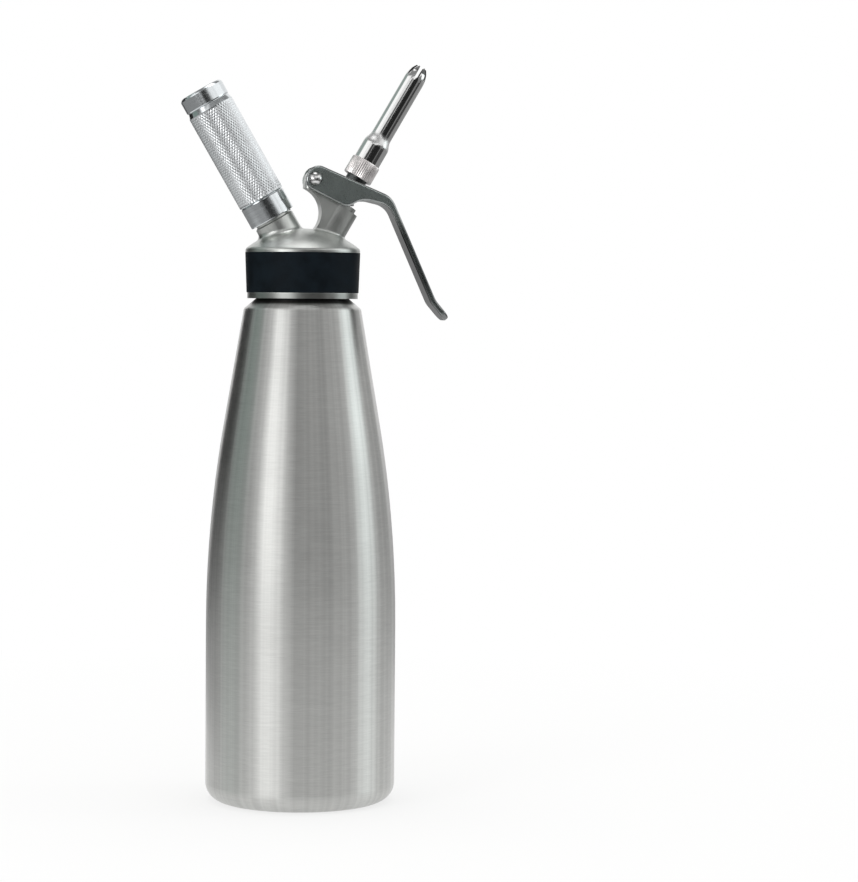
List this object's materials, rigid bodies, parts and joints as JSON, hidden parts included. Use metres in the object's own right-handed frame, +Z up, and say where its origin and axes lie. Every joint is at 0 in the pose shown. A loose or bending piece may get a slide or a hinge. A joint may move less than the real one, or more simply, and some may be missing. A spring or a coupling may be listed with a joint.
{
  "type": "whipped cream dispenser",
  "caption": "Steel pressure bottle with a screw-on head, sprung lever valve, decorator tip and knurled charger holder for whipping cream.",
  "frame": {"origin": "middle of the bottle's flat base", "axes": "+Z up the bottle's axis, +X towards the lever and decorator tip, -X towards the charger holder, so the hand's side view is seen from -Y"},
  "size_m": [0.13, 0.0924, 0.3589],
  "materials": {
    "bottle_steel": "fine horizontal brushing, satin",
    "head_steel": "satin cast stainless steel",
    "lever_steel": "grey satin stainless steel with polished edges",
    "polished_steel": "mirror polished",
    "holder_aluminium": "polished bands and a fine knurled grip",
    "adapter_aluminium": "light satin with fine ridges",
    "valve_steel": "turned stainless steel",
    "collar_steel": "blackened turned steel",
    "band_silicone": "matte black silicone",
    "seal_silicone": "soft red silicone",
    "washer_silicone": "soft white silicone",
    "charger_steel": "bare drawn steel"
  },
  "bodies": {
    "bottle": {"bottle": "bottle_steel"},
    "head_seal": {"head_gasket": "seal_silicone"},
    "head": {"head_body": "head_steel", "grip_band": "band_silicone", "piercer_body": "valve_steel", "piercer_seal_ring": "seal_silicone", "charger_seal": "washer_silicone", "piercing_pin": "valve_steel", "check_valve_sleeve": "washer_silicone", "lever_pin": "polished_steel", "lever_pin_clip": "valve_steel", "valve_spring": "valve_steel"},
    "lever": {"lever": "lever_steel"},
    "valve": {"valve_stem": "valve_steel", "valve_seal": "seal_silicone", "stem_ring_lower": "seal_silicone", "stem_ring_upper": "seal_silicone", "spring_collar": "collar_steel", "tip_adapter": "adapter_aluminium", "adapter_gasket": "washer_silicone"},
    "tip_seal": {"tip_washer": "washer_silicone"},
    "tip": {"decorator_tip": "polished_steel"},
    "charger": {"charger": "charger_steel"},
    "holder": {"charger_holder": "holder_aluminium"}
  },
  "joints": [
    {"name": "head_rise", "type": "slide", "parent": "bottle", "child": "head_seal", "axis": [0, 0, 1], "range_m": [0, 0.012]},
    {"name": "head_turn", "type": "hinge", "parent": "head_seal", "child": "head", "pos_m": [0, 0, 0.258], "axis": [0, 0, 1], "range_deg": [0, 1081]},
    {"name": "valve_travel", "type": "slide", "parent": "head", "child": "valve", "axis": [-0.5, 0, -0.866], "range_m": [0, 0.00314], "stiffness_N_per_m": 2200, "springref_m": -0.0045, "deforming": ["valve_spring"]},
    {"name": "lever_press", "type": "hinge", "parent": "head", "child": "lever", "pos_m": [0.005, 0, 0.3026], "axis": [0, 1, 0], "range_deg": [0, 10.02]},
    {"name": "tip_lift", "type": "slide", "parent": "valve", "child": "tip_seal", "axis": [0.5, 0, 0.866], "range_m": [0, 0.0045]},
    {"name": "tip_turn", "type": "hinge", "parent": "tip_seal", "child": "tip", "pos_m": [0, 0, 0.258], "axis": [0.5, 0, 0.866], "range_deg": [0, 1081]},
    {"name": "charger_lift", "type": "slide", "parent": "head", "child": "charger", "axis": [-0.5, 0, 0.866], "range_m": [0, 0.00875]},
    {"name": "holder_turn", "type": "hinge", "parent": "charger", "child": "holder", "pos_m": [0, 0, 0.258], "axis": [-0.5, 0, 0.866], "range_deg": [0, 1261]}
  ],
  "couplings": [
    {"joint": "head_turn", "follows": "head_rise", "rad_per_m": 1570.8},
    {"joint": "lever_press", "follows": "valve_travel", "rad_per_m": 55.648},
    {"joint": "tip_turn", "follows": "tip_lift", "rad_per_m": 4188.8},
    {"joint": "holder_turn", "follows": "charger_lift", "rad_per_m": 2513.3}
  ]
}
